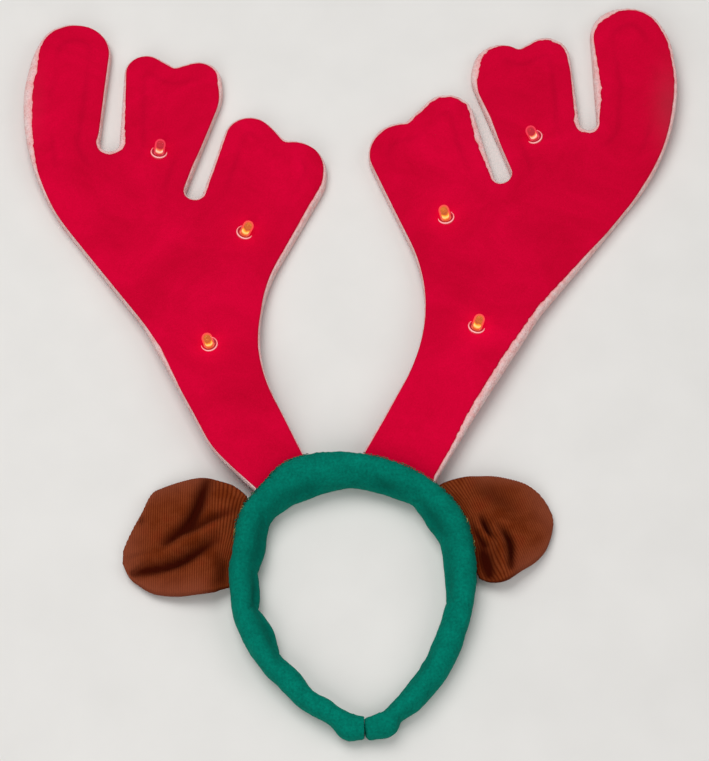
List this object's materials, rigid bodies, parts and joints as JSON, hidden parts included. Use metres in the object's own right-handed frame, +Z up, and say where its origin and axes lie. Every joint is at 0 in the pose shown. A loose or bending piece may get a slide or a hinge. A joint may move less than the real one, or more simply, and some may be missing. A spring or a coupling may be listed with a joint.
{
  "type": "light-up antler headband",
  "caption": "Padded felt hair band with two soft foam antlers, small lights set in their fronts, and a cupped corduroy ear sewn to each side, for a costume.",
  "frame": {"origin": "centre of the bounding box's underside, on the surface that the headband lies on", "axes": "+X towards the right antler as its front is seen, +Y towards the antler tips, +Z up, out of the antlers' fronts"},
  "size_m": [0.3562, 0.4213, 0.0221],
  "materials": {
    "felt_green": "brushed felt",
    "foam_pale": "raw cut foam",
    "velour_red": "short-pile velour",
    "lens_orange": "clear cast resin, lit",
    "collar_clear": "clear moulded plastic",
    "corduroy_brown": "fine-wale corduroy"
  },
  "bodies": {
    "root": {"band": "felt_green", "antler_foam_left": "foam_pale", "antler_foam_right": "foam_pale", "antler_face_left": "velour_red", "antler_face_right": "velour_red", "antler_back_left": "velour_red", "antler_back_right": "velour_red", "led_left_1": "lens_orange", "led_left_2": "lens_orange", "led_left_3": "lens_orange", "led_right_1": "lens_orange", "led_right_2": "lens_orange", "led_right_3": "lens_orange", "led_collar_left_1": "collar_clear", "led_collar_left_2": "collar_clear", "led_collar_left_3": "collar_clear", "led_collar_right_1": "collar_clear", "led_collar_right_2": "collar_clear", "led_collar_right_3": "collar_clear", "ear_left": "corduroy_brown", "ear_right": "corduroy_brown"}
  },
  "joints": []
}
